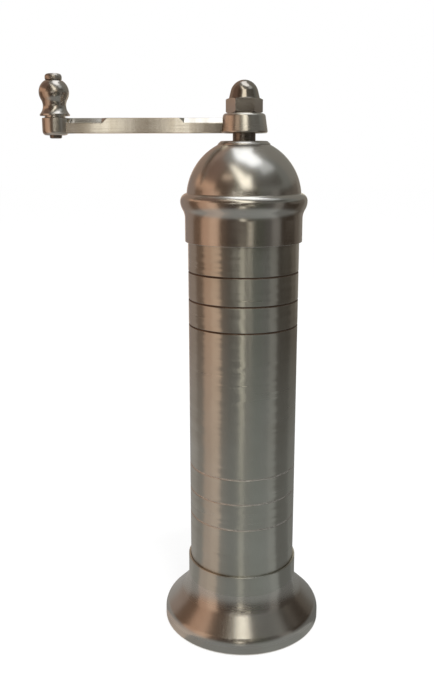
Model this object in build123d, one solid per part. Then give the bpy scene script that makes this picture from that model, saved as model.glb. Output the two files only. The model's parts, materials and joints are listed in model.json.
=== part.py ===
from build123d import *
import math
import os

# Hand-cranked pepper mill: a plated brass tube on a bell foot, a slip-on dome, a crank on a
# square-ended shaft, and a conical steel burr set that a thumb screw under the foot adjusts.
# Millimetres. The origin is the centre of the foot's resting face, +Z is up, and the crank
# points along -X.

# Fits: a seat is the gap where two separate pieces rest, a running gap is on the radius.
SEAT = 0.02
RUNNING = 0.05

# Body tube
TUBE_RADIUS = 19.0
TUBE_WALL = 1.0
TUBE_TOP = 155.0
GROOVE_HEIGHTS = (42.6, 52.2, 61.4, 112.8, 121.6, 131.2)
GROOVE_WIDTH = 0.7
GROOVE_DEPTH = 0.3

# Bell foot
FOOT_RADIUS = 28.65
FOOT_RIM_HEIGHT = 4.85
FOOT_SHOULDER = 4.0
FOOT_COVE = 9.0
FOOT_FLARE_ANGLE = 45.0
FOOT_EDGE = 0.5
FOOT_WALL = 2.8
COLLAR_RADIUS = 19.8
COLLAR_TOP = 24.8
LEDGE_RADIUS = 17.0
LEDGE_TOP = 14.0

# Burr set: both burrs share one cone angle, measured from the mill's axis.
BURR_ANGLE = 25.0
BURR_GAP = 0.45
ROTOR_RADIUS = 12.0
ROTOR_BOTTOM = 17.5
ROTOR_TOP = 32.0
ROTOR_RECESS = 6.2
THROAT_HEIGHT = 22.0
STATOR_TOP = 30.0
STATOR_MOUTH = 16.6
STATOR_OUTLET = 13.0
FINE_TEETH = 28
FINE_DEPTH = 0.8
ROTOR_FLUTES = 7
STATOR_FLUTES = 12
ROTOR_FLUTE_DEPTH = 1.5
STATOR_FLUTE_DEPTH = 0.9
TOOTH_SKEW = 24.0
ROTOR_FLUTE_SKEW = 36.0
TOOTH_HALF_ANGLE = 38.0
TOOTH_OVERSHOOT = 1.6

# Bridge under the burrs, its screws and the grind adjuster
BRIDGE_THICKNESS = 2.2
BRIDGE_WIDTH = 8.0
BRIDGE_REACH = 16.7
BOSS_RADIUS = 5.2
BOSS_BOTTOM = 10.3
BRIDGE_SCREW_PLACE = 14.9
BRIDGE_SCREW_RADIUS = 1.25
BRIDGE_SCREW_HEAD_RADIUS = 2.0
BRIDGE_SCREW_HEAD = 1.5
BRIDGE_SCREW_END = 18.5
ADJUSTER_RADIUS = 2.95
ADJUSTER_END = 1.9
ADJUSTER_TIP = 14.5
WHEEL_RADIUS = 6.5
WHEEL_BOTTOM = 1.6
WHEEL_TOP = 6.0
WHEEL_KNURLS = 30
KNURL_RADIUS = 0.35
SPRING_RADIUS = 3.9
SPRING_WIRE_RADIUS = 0.4
SPRING_TURNS = 2.5

# Drive shaft
BALL_RADIUS = 2.0
BALL_CENTRE = 16.0
SHAFT_RADIUS = 3.8
SHAFT_BOTTOM = 16.6
SHAFT_TOP = 190.3
ROTOR_SEAT = 20.9
TAIL_RADIUS = 2.5
LOWER_SQUARE = 4.6
LOWER_SQUARE_RADIUS = 3.0
UPPER_SQUARE = 5.8
UPPER_SQUARE_TOP = 183.0
THREAD_RADIUS = 2.95
WASHER_RADIUS = 5.2
WASHER_THICKNESS = 0.8
ROTOR_NUT_FLATS = 8.0
ROTOR_NUT_HEIGHT = 3.0

# Dome cap
SKIRT_RADIUS = 19.95
SKIRT_BOTTOM = 141.3
SKIRT_TOP = 149.1
SKIRT_EDGE = 0.25
BEAD_RADIUS = 21.5
BEAD_HEIGHT = 154.9
CREASE_HEIGHT = 157.5
DOME_RADIUS = 19.4
DOME_CENTRE = 155.95
DOME_WALL = 1.4
CROWN_RADIUS = 7.75
CROWN_FOOT_RADIUS = 8.8
CROWN_TOP = 174.46
CROWN_EDGE = 173.55
CROWN_ROUND = 0.5
CROWN_UNDERSIDE = 171.4
BUSH_RADIUS = 5.5
BUSH_FLANGE_RADIUS = 8.0
BUSH_FLANGE = 2.0

# Crank: the hub, the stop-chamfered arm and the eye that carries the knob
HUB_BOTTOM = 177.0
HUB_TOP = 183.3
HUB_BOTTOM_RADIUS = 7.9
HUB_TOP_RADIUS = 6.95
HUB_EDGE = 1.1
ARM_REACH = 62.5
ARM_BOTTOM = HUB_BOTTOM
ARM_TOP = 181.9
ARM_WIDTH = 4.2
ARM_EDGE = 0.5
ARM_CHAMFER = 1.65
ARM_PLAIN_FROM = 19.8
ARM_PLAIN_TO = 46.9
ARM_RUN_OUT = 1.2
EYE_RADIUS = 4.3
EYE_BOTTOM = 176.4
EYE_TOP = 182.0
EYE_EDGE = 1.3

# Knob and its rivet
RIVET_RADIUS = 1.75
RIVET_TAIL_RADIUS = 2.0
RIVET_TAIL = 1.0
RIVET_HEAD_RADIUS = 2.75
RIVET_HEAD_BOTTOM = 193.8
RIVET_TOP = 195.9
KNOB_BOTTOM = 182.1
KNOB_NECK_RADIUS = 3.35
KNOB_RING_RADIUS = 4.9
KNOB_RING_BOTTOM = 182.6
KNOB_RING_TOP = 183.1
KNOB_SHOULDER = (4.3, 187.8)
KNOB_BULB = (4.9, 190.0)
KNOB_TOP_RADIUS = 2.9
KNOB_TOP = 193.7

# Acorn nut
NUT_FLATS = 10.6
NUT_HEX_TOP = 188.05
NUT_FACE_RADIUS = 5.2
NUT_NOSE_RADIUS = 4.65
NUT_TAPER = 14.0
NUT_TOP = 193.9
NUT_BORE_TOP = 190.8
NUT_CORNER_CHAMFER = 22.0


def turned(outline):
    """Solid of revolution about the mill's axis, from a closed outline of (radius, height)."""
    return revolve(Plane.XZ * make_face(outline.edges()), Axis.Z)


def turned_polygon(*corners):
    """Turned solid from (radius, height) corners, each with an optional third value that rounds it."""
    points = [corner[:2] for corner in corners]
    rounds = [corner[2] if len(corner) == 3 else 0 for corner in corners]
    return turned(FilletPolyline(points, radius=rounds, close=True))


def at_knob(solid):
    """A solid made on the mill's axis, moved out to the knob's axis."""
    return Pos(-ARM_REACH, 0, 0) * solid


def rod(radius, bottom, top):
    """Plain upright cylinder on the mill's axis."""
    return Pos(0, 0, bottom) * extrude(Circle(radius), top - bottom)


def squared_rod(radius, flats, bottom, top):
    """Upright rod of a given radius with four flats milled on it."""
    section = Circle(radius) & Rectangle(flats, flats)
    return Pos(0, 0, bottom) * extrude(section, top - bottom)


def around(cutter, count):
    """Copies of a cutter spread evenly about the mill's axis."""
    return [place * cutter for place in PolarLocations(0, count)]


def tooth_cutter(bottom, top, outward, depth, skew):
    """V-shaped cutter laid along a cone's surface, from one (radius, height) point to another.

    The cutter's edge lies depth below the surface: inside a rotor's cone, outside a stator's. The
    cutter leans round the axis by skew degrees, and overshoots both points to cut right through.
    """
    foot = Vector(bottom[0], 0, bottom[1])
    head = Vector(top[0], 0, top[1])
    sideways = Vector(0, 1, 0)
    generator = (head - foot).normalized()
    normal = sideways.cross(generator) * (1 if outward else -1)
    turn = math.radians(skew)
    along = generator * math.cos(turn) + sideways * math.sin(turn)
    rise = 2 * depth
    half_width = (depth + rise) * math.tan(math.radians(TOOTH_HALF_ANGLE))
    section = make_face(Polyline((-depth, 0), (rise, half_width), (rise, -half_width), close=True))
    reach = (head - foot).length * TOOTH_OVERSHOOT / 2
    return extrude(Plane((foot + head) / 2, normal, along) * section, reach, both=True)


def hexagon(flats, bottom, top):
    """Upright hexagonal bar with one flat square to Y."""
    return Pos(0, 0, bottom) * extrude(RegularPolygon(flats / 2, 6, major_radius=False), top - bottom)


def rotor_radius(height):
    """Radius of the rotor's cone at a height."""
    return ROTOR_RADIUS - (height - ROTOR_BOTTOM) * math.tan(math.radians(BURR_ANGLE))


def body_tube():
    """Straight tube with three fine turned grooves near each end."""
    inner = TUBE_RADIUS - TUBE_WALL
    section = Pos(inner, LEDGE_TOP) * Rectangle(TUBE_WALL, TUBE_TOP - LEDGE_TOP, align=(Align.MIN, Align.MIN))
    for height in GROOVE_HEIGHTS:
        section -= make_face(
            Polyline(
                (TUBE_RADIUS - GROOVE_DEPTH, height),
                (TUBE_RADIUS, height - GROOVE_WIDTH / 2),
                (TUBE_RADIUS, height + GROOVE_WIDTH / 2),
                close=True,
            )
        )
    return revolve(Plane.XZ * section, Axis.Z)


def base_foot():
    """Bell foot, open below: a rim, a straight flare, a cove and a collar that takes the tube."""
    bore = TUBE_RADIUS + SEAT
    flare = math.radians(FOOT_FLARE_ANGLE)
    flare_top = FOOT_RIM_HEIGHT + (FOOT_RADIUS - COLLAR_RADIUS) * math.tan(flare)
    inner_rim = FOOT_RADIUS - FOOT_WALL
    inner_rise = FOOT_RIM_HEIGHT - FOOT_WALL * math.tan(flare / 2)
    ledge_bottom = inner_rise + (inner_rim - LEDGE_RADIUS) * math.tan(flare)
    return turned_polygon(
        (FOOT_RADIUS, 0, FOOT_EDGE),
        (FOOT_RADIUS, FOOT_RIM_HEIGHT, FOOT_SHOULDER),
        (COLLAR_RADIUS, flare_top, FOOT_COVE),
        (COLLAR_RADIUS, COLLAR_TOP, FOOT_EDGE / 2),
        (bore, COLLAR_TOP),
        (bore, LEDGE_TOP),
        (LEDGE_RADIUS, LEDGE_TOP),
        (LEDGE_RADIUS, ledge_bottom),
        (inner_rim, inner_rise, FOOT_SHOULDER),
        (inner_rim, 0),
    )


def stator_burr():
    """Toothed ring in the tube's lower end: a fluted funnel above a fine grinding cone."""
    outer = TUBE_RADIUS - TUBE_WALL - RUNNING
    mouth = (STATOR_MOUTH, STATOR_TOP)
    throat = (rotor_radius(THROAT_HEIGHT) + BURR_GAP, THROAT_HEIGHT)
    outlet = (ROTOR_RADIUS + BURR_GAP, ROTOR_BOTTOM)
    ring = turned_polygon(
        (STATOR_OUTLET, LEDGE_TOP), (outer, LEDGE_TOP), (outer, STATOR_TOP), mouth, throat, outlet
    )
    fine = tooth_cutter(outlet, throat, False, FINE_DEPTH, -TOOTH_SKEW)
    flute = tooth_cutter(throat, mouth, False, STATOR_FLUTE_DEPTH, -TOOTH_SKEW)
    hole = rod(BRIDGE_SCREW_RADIUS + RUNNING, LEDGE_TOP, BRIDGE_SCREW_END + SEAT)
    holes = [Pos(side * BRIDGE_SCREW_PLACE, 0, 0) * hole for side in (-1, 1)]
    return ring.cut(*around(fine, FINE_TEETH), *around(flute, STATOR_FLUTES), *holes)


def rotor_burr():
    """Conical burr on the shaft: spiral feed flutes above fine grinding teeth."""
    rim = (ROTOR_RADIUS, ROTOR_BOTTOM)
    throat = (rotor_radius(THROAT_HEIGHT), THROAT_HEIGHT)
    tip = (rotor_radius(ROTOR_TOP), ROTOR_TOP)
    cone = turned_polygon(
        (0, ROTOR_SEAT), (ROTOR_RECESS, ROTOR_SEAT), (ROTOR_RECESS, ROTOR_BOTTOM), rim, tip, (0, ROTOR_TOP)
    )
    fine = tooth_cutter(rim, throat, True, FINE_DEPTH, TOOTH_SKEW)
    flute = tooth_cutter(throat, tip, True, ROTOR_FLUTE_DEPTH, ROTOR_FLUTE_SKEW)
    bore = squared_rod(LOWER_SQUARE_RADIUS + RUNNING, LOWER_SQUARE + 2 * RUNNING, ROTOR_SEAT, ROTOR_TOP)
    return cone.cut(*around(fine, FINE_TEETH), *around(flute, ROTOR_FLUTES), bore)


def burr_bridge():
    """Strap under the stator with a threaded boss for the adjuster."""
    strap_bottom = LEDGE_TOP - BRIDGE_THICKNESS
    strap = Pos(0, 0, strap_bottom) * extrude(SlotOverall(2 * BRIDGE_REACH, BRIDGE_WIDTH), BRIDGE_THICKNESS)
    bridge = strap + rod(BOSS_RADIUS, BOSS_BOTTOM, LEDGE_TOP)
    bridge -= rod(ADJUSTER_RADIUS + RUNNING, BOSS_BOTTOM, LEDGE_TOP)
    hole = rod(BRIDGE_SCREW_RADIUS + RUNNING, strap_bottom, LEDGE_TOP)
    return bridge - [Pos(side * BRIDGE_SCREW_PLACE, 0, 0) * hole for side in (-1, 1)]


def bridge_screws():
    """Two slotted screws that hold the bridge to the stator."""
    head_top = LEDGE_TOP - BRIDGE_THICKNESS
    head_bottom = head_top - BRIDGE_SCREW_HEAD
    edge = BRIDGE_SCREW_HEAD / 3
    screw = turned_polygon(
        (0, head_bottom),
        (BRIDGE_SCREW_HEAD_RADIUS, head_bottom, edge),
        (BRIDGE_SCREW_HEAD_RADIUS, head_top),
        (BRIDGE_SCREW_RADIUS, head_top),
        (BRIDGE_SCREW_RADIUS, BRIDGE_SCREW_END),
        (0, BRIDGE_SCREW_END),
    )
    screw -= Pos(0, 0, head_bottom) * Box(2 * BRIDGE_SCREW_HEAD_RADIUS, edge, BRIDGE_SCREW_HEAD)
    return Compound(children=[Pos(side * BRIDGE_SCREW_PLACE, 0, 0) * screw for side in (-1, 1)])


def adjusting_screw():
    """Threaded stud that lifts the ball, with a cup in its tip."""
    stud = rod(ADJUSTER_RADIUS, ADJUSTER_END, ADJUSTER_TIP)
    return stud - Pos(0, 0, BALL_CENTRE) * Sphere(BALL_RADIUS + RUNNING)


def thumb_wheel():
    """Knurled wheel on the lower end of the adjusting screw."""
    disc = Circle(WHEEL_RADIUS) - PolarLocations(WHEEL_RADIUS, WHEEL_KNURLS) * Circle(KNURL_RADIUS)
    disc -= Circle(ADJUSTER_RADIUS + SEAT)
    return Pos(0, 0, WHEEL_BOTTOM) * extrude(disc, WHEEL_TOP - WHEEL_BOTTOM)


def spring_point(turns, pitch, start):
    """Point and direction on the spring's centre line after a number of turns."""
    angle = 2 * math.pi * turns
    point = Vector(SPRING_RADIUS * math.cos(angle), SPRING_RADIUS * math.sin(angle), start + pitch * turns)
    around_axis = 2 * math.pi * SPRING_RADIUS
    way = Vector(-math.sin(angle) * around_axis, math.cos(angle) * around_axis, pitch)
    return point, way.normalized()


def biarc(start, start_way, end, end_way):
    """Two tangent arcs from one point and direction to another."""
    chord = end - start
    ways = start_way + end_way
    spread = 2 * (1 - start_way.dot(end_way))
    reach = (math.sqrt(chord.dot(ways) ** 2 + spread * chord.dot(chord)) - chord.dot(ways)) / spread
    middle = (start + end + (start_way - end_way) * reach) / 2
    middle_way = (end - end_way * reach) - (start + start_way * reach)
    return [TangentArc(start, middle, tangent=start_way), TangentArc(middle, end, tangent=middle_way)]


def adjuster_spring():
    """Compression spring between the thumb wheel and the bridge's boss."""
    start = WHEEL_TOP + SPRING_WIRE_RADIUS + SEAT
    rise = BOSS_BOTTOM - SPRING_WIRE_RADIUS - SEAT - start
    pitch = rise / SPRING_TURNS
    print("spring gap between turns", round(pitch - 2 * SPRING_WIRE_RADIUS, 2))
    quarters = [spring_point(quarter / 4, pitch, start) for quarter in range(int(4 * SPRING_TURNS) + 1)]
    arcs = []
    for (first, first_way), (second, second_way) in zip(quarters, quarters[1:]):
        arcs += biarc(first, first_way, second, second_way)
    section = Plane(quarters[0][0], z_dir=quarters[0][1]) * Circle(SPRING_WIRE_RADIUS)
    return sweep(section, path=Wire(arcs))


def thrust_ball():
    """Ball that carries the shaft's end on the adjusting screw."""
    return Pos(0, 0, BALL_CENTRE) * Sphere(BALL_RADIUS)


def drive_shaft():
    """Rod with a squared seat for the rotor below and for the crank above, threaded at both ends."""
    shaft = rod(TAIL_RADIUS, SHAFT_BOTTOM, ROTOR_SEAT)
    shaft += squared_rod(LOWER_SQUARE_RADIUS, LOWER_SQUARE, ROTOR_SEAT, ROTOR_TOP)
    shaft += rod(SHAFT_RADIUS, ROTOR_TOP, HUB_BOTTOM - SEAT)
    shaft += squared_rod(SHAFT_RADIUS, UPPER_SQUARE, HUB_BOTTOM - SEAT, UPPER_SQUARE_TOP)
    shaft += rod(THREAD_RADIUS, UPPER_SQUARE_TOP, SHAFT_TOP)
    shaft = chamfer(shaft.edges().sort_by(Axis.Z)[-1], THREAD_RADIUS / 4)
    return shaft - Pos(0, 0, BALL_CENTRE) * Sphere(BALL_RADIUS + RUNNING)


def rotor_washer():
    """Plain washer between the rotor and its nut."""
    ring = rod(WASHER_RADIUS, ROTOR_SEAT - WASHER_THICKNESS, ROTOR_SEAT)
    return ring - rod(TAIL_RADIUS + RUNNING, ROTOR_SEAT - WASHER_THICKNESS, ROTOR_SEAT)


def rotor_nut():
    """Thin hexagon nut that holds the rotor on the shaft."""
    top = ROTOR_SEAT - WASHER_THICKNESS
    nut = hexagon(ROTOR_NUT_FLATS, top - ROTOR_NUT_HEIGHT, top)
    return nut - rod(TAIL_RADIUS + RUNNING, top - ROTOR_NUT_HEIGHT, top)


def dome_cap():
    """Slip-on dome: a plain skirt, an ogee and bead, a round dome and a raised flat crown."""
    crease = math.sqrt(DOME_RADIUS**2 - (CREASE_HEIGHT - DOME_CENTRE) ** 2)
    crown_foot = DOME_CENTRE + math.sqrt(DOME_RADIUS**2 - CROWN_FOOT_RADIUS**2)
    hole = BUSH_RADIUS + SEAT
    bore = TUBE_RADIUS + RUNNING
    inner = DOME_RADIUS - DOME_WALL
    seat = TUBE_TOP + SEAT
    inner_seat = math.sqrt(inner**2 - (seat - DOME_CENTRE) ** 2)
    inner_crown = math.sqrt(inner**2 - (CROWN_UNDERSIDE - DOME_CENTRE) ** 2)
    outside = [
        Polyline(
            (bore, SKIRT_BOTTOM),
            (SKIRT_RADIUS - SKIRT_EDGE, SKIRT_BOTTOM),
            (SKIRT_RADIUS, SKIRT_BOTTOM + SKIRT_EDGE),
            (SKIRT_RADIUS, SKIRT_TOP),
        ),
        Spline((SKIRT_RADIUS, SKIRT_TOP), (BEAD_RADIUS, BEAD_HEIGHT), tangents=((0, 1), (0, 1))),
        TangentArc((BEAD_RADIUS, BEAD_HEIGHT), (crease, CREASE_HEIGHT), tangent=(0, 1)),
        RadiusArc((crease, CREASE_HEIGHT), (CROWN_FOOT_RADIUS, crown_foot), -DOME_RADIUS),
        FilletPolyline(
            (CROWN_FOOT_RADIUS, crown_foot),
            (CROWN_FOOT_RADIUS, CROWN_EDGE),
            (CROWN_RADIUS, CROWN_TOP),
            (hole, CROWN_TOP),
            radius=CROWN_ROUND,
        ),
    ]
    inside = [
        Polyline((hole, CROWN_TOP), (hole, CROWN_UNDERSIDE), (inner_crown, CROWN_UNDERSIDE)),
        RadiusArc((inner_crown, CROWN_UNDERSIDE), (inner_seat, seat), inner),
        Polyline((inner_seat, seat), (bore, seat), (bore, SKIRT_BOTTOM)),
    ]
    return turned(Curve() + outside + inside)


def dome_bush():
    """Flanged bush in the dome's crown that the shaft turns in."""
    bore = SHAFT_RADIUS + RUNNING
    return turned_polygon(
        (bore, CROWN_UNDERSIDE - BUSH_FLANGE),
        (BUSH_FLANGE_RADIUS, CROWN_UNDERSIDE - BUSH_FLANGE),
        (BUSH_FLANGE_RADIUS, CROWN_UNDERSIDE),
        (BUSH_RADIUS, CROWN_UNDERSIDE),
        (BUSH_RADIUS, CROWN_TOP),
        (bore, CROWN_TOP),
    )


def arm_chamfer(side, near, far):
    """Cutter for one stopped chamfer on the arm's upper edge, from the near end to its run-out."""
    run_out = math.copysign(ARM_RUN_OUT, near - far)
    middle = (0, side * (ARM_WIDTH - ARM_CHAMFER) / 2, ARM_TOP - ARM_CHAMFER / 2)
    place = Plane(middle, x_dir=(1, 0, 0), z_dir=(0, -1, side))
    section = make_face(
        Polyline((near, 0), (far + run_out, 0), (far, ARM_CHAMFER), (near, ARM_CHAMFER), close=True)
    )
    return extrude(place * section, ARM_WIDTH / 2, both=True)


def crank_arm():
    """Crank: a tapered hub on the shaft's square, a bar with stopped chamfers and an eye."""
    hub = turned_polygon(
        (0, HUB_BOTTOM),
        (HUB_BOTTOM_RADIUS, HUB_BOTTOM, HUB_EDGE / 2),
        (HUB_TOP_RADIUS, HUB_TOP, HUB_EDGE),
        (0, HUB_TOP),
    )
    eye = turned_polygon(
        (0, EYE_BOTTOM),
        (EYE_RADIUS, EYE_BOTTOM, EYE_EDGE),
        (EYE_RADIUS, EYE_TOP, EYE_EDGE / 4),
        (0, EYE_TOP),
    )
    section = Pos(0, (ARM_BOTTOM + ARM_TOP) / 2) * RectangleRounded(ARM_WIDTH, ARM_TOP - ARM_BOTTOM, ARM_EDGE)
    bar = extrude(Plane.YZ * section, -ARM_REACH)
    for side in (-1, 1):
        bar -= arm_chamfer(side, 0, -ARM_PLAIN_FROM)
        bar -= arm_chamfer(side, -ARM_REACH, -ARM_PLAIN_TO)
    crank = bar + hub + at_knob(eye)
    crank -= squared_rod(SHAFT_RADIUS + RUNNING, UPPER_SQUARE + 2 * RUNNING, ARM_BOTTOM, HUB_TOP)
    return crank - at_knob(rod(RIVET_RADIUS, EYE_BOTTOM, EYE_TOP))


def knob_rivet():
    """Button-headed rivet that the knob turns on, closed under the eye."""
    tail_bottom = EYE_BOTTOM - RIVET_TAIL
    edge = RIVET_TAIL / 2
    rivet = turned_polygon(
        (0, tail_bottom),
        (RIVET_TAIL_RADIUS, tail_bottom, edge),
        (RIVET_TAIL_RADIUS, EYE_BOTTOM),
        (RIVET_RADIUS, EYE_BOTTOM),
        (RIVET_RADIUS, RIVET_HEAD_BOTTOM),
        (RIVET_HEAD_RADIUS, RIVET_HEAD_BOTTOM, edge),
        (RIVET_HEAD_RADIUS, RIVET_TOP, 2 * edge),
        (0, RIVET_TOP),
    )
    return at_knob(rivet)


def knob():
    """Turned knob with a flared ring, a waist and a round bulb, bored for the rivet."""
    bore = RIVET_RADIUS + RUNNING
    ring_top = (KNOB_RING_RADIUS, KNOB_RING_TOP)
    top = (KNOB_TOP_RADIUS, KNOB_TOP)
    bulb = ThreePointArc(KNOB_SHOULDER, KNOB_BULB, top)
    waist = TangentArc(KNOB_SHOULDER, ring_top, tangent=-(bulb % 0))
    base = Polyline(
        ring_top,
        (KNOB_RING_RADIUS, KNOB_RING_BOTTOM),
        (KNOB_NECK_RADIUS, KNOB_RING_BOTTOM),
        (KNOB_NECK_RADIUS, KNOB_BOTTOM),
        (bore, KNOB_BOTTOM),
        (bore, KNOB_TOP),
        top,
    )
    return at_knob(turned(Curve() + [bulb, waist, base]))


def acorn_nut():
    """Acorn nut: a chamfered hexagon under a tapered, round-nosed dome, bored for the shaft's thread."""
    bottom = HUB_TOP + SEAT
    corner = NUT_FLATS / 2 / math.cos(math.radians(30))
    drop = (corner - NUT_FACE_RADIUS) * math.tan(math.radians(NUT_CORNER_CHAMFER))
    taper = math.radians(NUT_TAPER)
    side_radius = NUT_NOSE_RADIUS * math.cos(taper)
    side_height = NUT_TOP - NUT_NOSE_RADIUS * (1 - math.sin(taper))
    foot_radius = side_radius + (side_height - NUT_HEX_TOP) * math.tan(taper)
    sides = Polyline(
        (0, NUT_TOP),
        (0, bottom),
        (NUT_FACE_RADIUS, bottom),
        (corner, bottom + drop),
        (corner, NUT_HEX_TOP - drop),
        (NUT_FACE_RADIUS, NUT_HEX_TOP),
        (foot_radius, NUT_HEX_TOP),
        (side_radius, side_height),
    )
    nose = RadiusArc((side_radius, side_height), (0, NUT_TOP), -NUT_NOSE_RADIUS)
    nut = hexagon(NUT_FLATS, bottom, NUT_TOP) & turned(Curve() + [sides, nose])
    return nut - rod(THREAD_RADIUS + RUNNING, bottom, NUT_BORE_TOP)


PIECES = (
    body_tube,
    base_foot,
    stator_burr,
    burr_bridge,
    bridge_screws,
    adjuster_spring,
    thrust_ball,
    drive_shaft,
    rotor_burr,
    rotor_washer,
    rotor_nut,
    adjusting_screw,
    thumb_wheel,
    dome_cap,
    dome_bush,
    crank_arm,
    knob_rivet,
    knob,
    acorn_nut,
)

os.makedirs("parts", exist_ok=True)
for piece in PIECES:
    export_step(piece(), f"parts/{piece.__name__}.step")
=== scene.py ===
"""Looks of a hand-cranked pepper mill in satin nickel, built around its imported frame.

The outer metalwork is turned, cut and bevelled again here with softened edges, real threads and
rounded grooves, and stands for the frame's plain solids. The burr set and the small inner pieces
keep the frame's shapes. Every surface gets a metal finish whose marks follow how it was made.
The mill's lengths are given in millimetres and the studio's in metres.
"""

import json
import logging
import math
from collections.abc import Callable
from dataclasses import dataclass
from enum import Enum

import bmesh
import bpy
from bmesh.types import BMEdge, BMesh, BMVert
from bpy.types import Material, Node, NodeSocket, NodeTree, Object, World
from mathutils import Matrix, Vector

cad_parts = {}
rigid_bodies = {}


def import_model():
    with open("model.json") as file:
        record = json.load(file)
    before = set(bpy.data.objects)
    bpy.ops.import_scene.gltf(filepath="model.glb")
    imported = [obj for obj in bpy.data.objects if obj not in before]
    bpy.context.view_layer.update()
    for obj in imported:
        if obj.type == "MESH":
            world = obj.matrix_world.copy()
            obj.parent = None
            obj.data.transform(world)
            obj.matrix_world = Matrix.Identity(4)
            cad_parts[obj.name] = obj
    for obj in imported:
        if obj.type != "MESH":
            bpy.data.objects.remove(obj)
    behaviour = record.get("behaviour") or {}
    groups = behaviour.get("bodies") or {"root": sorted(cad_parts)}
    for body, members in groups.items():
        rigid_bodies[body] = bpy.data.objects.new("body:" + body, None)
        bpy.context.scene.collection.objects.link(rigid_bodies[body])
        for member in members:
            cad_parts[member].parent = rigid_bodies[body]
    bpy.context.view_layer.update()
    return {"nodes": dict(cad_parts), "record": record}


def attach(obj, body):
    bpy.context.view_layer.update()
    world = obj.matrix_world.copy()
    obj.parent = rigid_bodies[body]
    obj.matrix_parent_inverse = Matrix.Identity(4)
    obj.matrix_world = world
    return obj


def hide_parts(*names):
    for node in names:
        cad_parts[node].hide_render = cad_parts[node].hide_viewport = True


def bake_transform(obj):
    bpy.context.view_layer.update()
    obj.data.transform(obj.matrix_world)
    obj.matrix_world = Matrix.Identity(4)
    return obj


LOG = logging.getLogger("pepper_mill")
MM = 0.001
UP = Vector((0.0, 0.0, 1.0))
WHITE = "#FFFFFF"
ARC_STEP = math.radians(3.0)
LEAST_ARC_STEPS = 4
CARD_STEP = 3.0
ROUND_STEPS = 5
LARGE_STEPS = 192
SMALL_STEPS = 96
THREAD_STEPS = 32
WIRE_STEPS = 16
MERGE_DISTANCE = 1e-8
SHARP_ANGLE = math.radians(34.0)
# A thread's ridge at its foot and its crest, in pitches, and how far its foot is sunk, in depths.
RIDGE_FOOT = 0.88
RIDGE_CREST = 0.22
RIDGE_SUNK = 0.2
# The foot's flare, and how far the bend into it shifts what runs parallel at a distance of 1.
FLARE_ANGLE = math.radians(45.0)
FLARE_SHIFT = math.tan(FLARE_ANGLE / 2)
SQUARE = 4
HEXAGON = 6
# Values of a noise between which tarnish and painted shade set in, roughness changes and single marks tip
# over.
TARNISH_AND_SHADE_NOISE = (0.35, 0.7)
ROUGH_NOISE = (0.25, 0.75)
TIP_NOISE = (0.3, 0.7)
NOISE_DETAIL = 3.0
# Patches of painted shade on the linished bar, standing in for its uneven reflection, run right across it
# and over its edges.
DRAWN_OUT = (1.0, 0.2, 0.2)
# Highlights spread at a right angle to the marks.
QUARTER_TURN = 0.25
# Sockets of a Mix node that mixes colours.
MIX_FIRST, MIX_SECOND, MIX_RESULT = 6, 7, 2


def linear(code: str) -> tuple[float, float, float, float]:
    """Turn an sRGB hex colour into linear light.

    Args:
        code: Colour such as "#D3CDC2".

    Returns:
        Red, green, blue and an alpha of 1.
    """
    shares = [int(code[place : place + 2], 16) / 255 for place in (1, 3, 5)]
    lights = [share / 12.92 if share <= 0.04045 else ((share + 0.055) / 1.055) ** 2.4 for share in shares]
    return (*lights, 1.0)


def add_node(tree: NodeTree, kind: str, inputs: dict | tuple = (), **settings: object) -> Node:
    """Add a shader node with its settings, socket values and links.

    Args:
        tree: Node tree that takes the node.
        kind: Node class without its ShaderNode prefix.
        inputs: Socket name or index to a plain value or to the output that feeds it, or only the values
            and outputs for the first sockets in order.
        **settings: Properties of the node itself.

    Returns:
        The new node.
    """
    node = tree.nodes.new("ShaderNode" + kind)
    for name, value in settings.items():
        setattr(node, name, value)
    for socket, value in inputs.items() if isinstance(inputs, dict) else enumerate(inputs):
        if isinstance(value, NodeSocket):
            tree.links.new(value, node.inputs[socket])
        else:
            node.inputs[socket].default_value = value
    return node


def empty_tree(owner: Material | World) -> NodeTree:
    """Give the node tree of a new material or world, without the nodes that it starts with.

    Args:
        owner: A new material or world.

    Returns:
        Its node tree.
    """
    owner.use_nodes = True
    owner.node_tree.nodes.clear()
    return owner.node_tree


class Slot(Enum):
    """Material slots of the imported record."""

    TUBE = "brushed_nickel"
    TURNED = "satin_nickel"
    POLISHED = "polished_nickel"
    CAST = "cast_nickel"
    SHAFT = "shaft_steel"
    BURR = "burr_steel"
    PLATED = "plain_steel"
    WIRE = "spring_steel"
    BRASS = "bare_brass"


class Lay(Enum):
    """Which way the last tool or abrasive ran over a surface."""

    ROUND = "round the axis"
    ALONG = "along the crank"
    NONE = "no direction"


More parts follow.
